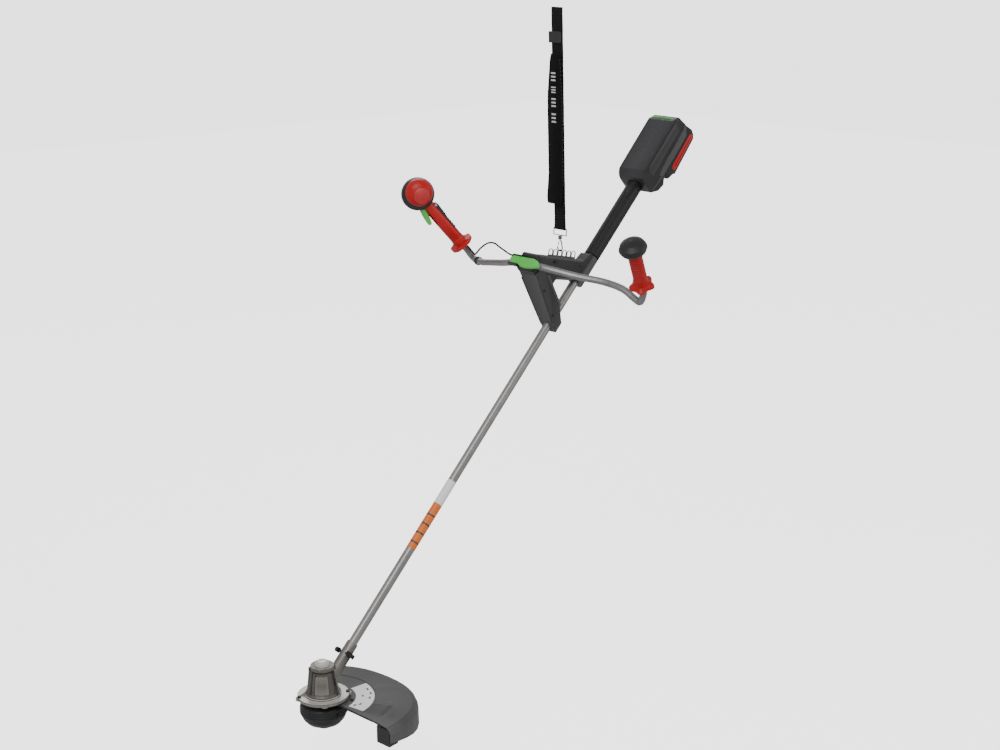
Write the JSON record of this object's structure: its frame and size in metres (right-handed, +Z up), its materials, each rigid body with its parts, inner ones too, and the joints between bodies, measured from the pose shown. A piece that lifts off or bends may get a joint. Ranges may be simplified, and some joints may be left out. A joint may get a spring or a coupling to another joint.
{
  "type": "brush cutter",
  "caption": "Battery brush cutter with handlebar, throttle grip, motor head, guard and line head, hung by its snap hook from a folded shoulder strap.",
  "frame": {"origin": "the top of the folded shoulder strap, where it hangs", "axes": "+Z up, +X from the cutting head towards the battery, +Y towards the right-hand throttle grip"},
  "size_m": [1.4333, 0.8387, 1.7731],
  "materials": {
    "black_plastic": "satin moulded plastic",
    "red_plastic": "satin moulded plastic",
    "green_plastic": "satin moulded plastic",
    "grey_tube": "satin paint over aluminium tube",
    "grey_guard": "fine moulded grain",
    "cast_aluminium": "cast and lightly blasted",
    "steel": "zinc plated",
    "bar_metal": "satin anodised",
    "webbing": "woven",
    "rubber": "matt",
    "copper": "lacquered wire",
    "nylon": "clear nylon line",
    "board": "circuit board",
    "cell_cans": "shrink-wrapped steel cans"
  },
  "bodies": {
    "strap": {"shoulder_pad": "webbing", "strap_adjuster": "black_plastic", "strap_ring": "steel", "strap_webbing": "webbing"},
    "hook": {"snap_hook": "steel", "snap_hook_swivel": "steel"},
    "gate": {"hook_gate": "steel"},
    "wing_bolt_body": {"wing_bolt": "steel"},
    "rotor_body": {"eyelet_left": "steel", "eyelet_right": "steel", "line_head_housing": "black_plastic", "line_spool": "black_plastic", "line_winding": "nylon", "motor_shaft": "steel", "rotor": "steel"},
    "knob": {"bump_knob": "black_plastic"},
    "lever": {"clamp_lever": "green_plastic"},
    "bar": {"cable_tie": "black_plastic", "handlebar": "bar_metal", "left_grip": "red_plastic", "left_grip_knob": "black_plastic", "throttle_barrel": "red_plastic", "throttle_cable": "rubber", "throttle_cap": "red_plastic", "throttle_head": "black_plastic", "throttle_switch": "black_plastic"},
    "trigger_body": {"trigger": "green_plastic"},
    "lock_off_body": {"lock_off_lever": "black_plastic"},
    "power_button_body": {"power_button": "steel"},
    "battery": {"battery_case": "black_plastic", "battery_cells": "cell_cans", "battery_cover": "red_plastic"},
    "latch": {"battery_latch": "red_plastic"},
    "tool": {"clamp_cap": "black_plastic", "clamp_pin": "steel", "clamp_saddle": "black_plastic", "controller_board": "board", "flange_screw_1": "steel", "flange_screw_2": "steel", "guard": "grey_guard", "guard_screw_1": "steel", "guard_screw_2": "steel", "hanger_plate": "steel", "head_neck": "cast_aluminium", "housing_left": "black_plastic", "housing_right": "black_plastic", "line_cutter": "steel", "lower_arm": "black_plastic", "lower_bearing": "steel", "motor_base": "cast_aluminium", "motor_cable": "rubber", "motor_housing": "cast_aluminium", "neck_cap_nut": "steel", "rear_tube": "rubber", "shaft_tube": "grey_tube", "stator": "copper", "terminal_block": "black_plastic", "upper_arm": "black_plastic", "upper_bearing": "steel", "vent_cap": "cast_aluminium"}
  },
  "joints": [
    {"name": "hook_swivel", "type": "hinge", "parent": "strap", "child": "hook", "pos_m": [0.0195, 0, -0.61], "axis": [0, 0, 1], "continuous": true},
    {"name": "gate_hinge", "type": "hinge", "parent": "hook", "child": "gate", "pos_m": [0.0195, 0.003, -0.6245], "axis": [1, 0, 0], "range_deg": [-25, 0], "stiffness_Nm_per_rad": 0.02, "springref_deg": 11.46},
    {"name": "tool_swing", "type": "hinge", "parent": "hook", "child": "tool", "pos_m": [0.0195, 0, -0.6485], "axis": [0, 1, 0], "range_deg": [-20, 10]},
    {"name": "wing_bolt_turn", "type": "hinge", "parent": "tool", "child": "wing_bolt_body", "pos_m": [-0.76054, 0.00213, -1.59057], "axis": [-0.015, 0.9998, 0.0147], "continuous": true},
    {"name": "motor_spin", "type": "hinge", "parent": "tool", "child": "rotor_body", "pos_m": [-0.82951, 0.00255, -1.68959], "axis": [-0.0261, -0.015, 0.9995], "continuous": true},
    {"name": "bump_feed", "type": "slide", "parent": "rotor_body", "child": "knob", "axis": [-0.0261, -0.015, 0.9995], "range_m": [0, 0.006], "stiffness_N_per_m": 1500, "springref_m": -0.004},
    {"name": "clamp_lever_turn", "type": "hinge", "parent": "tool", "child": "lever", "pos_m": [-0.1157, 0.04466, -0.66005], "axis": [-0.6997, 0, -0.7145], "range_deg": [0, 80]},
    {"name": "handlebar_tilt", "type": "hinge", "parent": "tool", "child": "bar", "pos_m": [-0.10118, -0.00147, -0.67148], "axis": [-0.015, 0.9998, 0.0147], "range_deg": [-10, 15]},
    {"name": "trigger_pull", "type": "hinge", "parent": "bar", "child": "trigger_body", "pos_m": [-0.1459, 0.38158, -0.55904], "axis": [-0.1747, -0.9697, 0.1711], "range_deg": [0, 10], "stiffness_Nm_per_rad": 0.4, "springref_deg": -8.59},
    {"name": "lock_off_press", "type": "hinge", "parent": "bar", "child": "lock_off_body", "pos_m": [-0.07135, 0.36257, -0.59069], "axis": [-0.1747, -0.9697, 0.1711], "range_deg": [0, 4], "stiffness_Nm_per_rad": 0.3, "springref_deg": -8.59},
    {"name": "power_press", "type": "slide", "parent": "bar", "child": "power_button_body", "axis": [-0.3626, 0.7602, -0.539], "range_m": [0, 0.0025], "stiffness_N_per_m": 500, "springref_m": -0.001},
    {"name": "battery_slide", "type": "slide", "parent": "tool", "child": "battery", "axis": [0.6997, 0, 0.7145], "range_m": [0, 0.12]},
    {"name": "latch_press", "type": "slide", "parent": "battery", "child": "latch", "axis": [-0.6997, 0, -0.7145], "range_m": [0, 0.003], "stiffness_N_per_m": 800, "springref_m": -0.002}
  ]
}
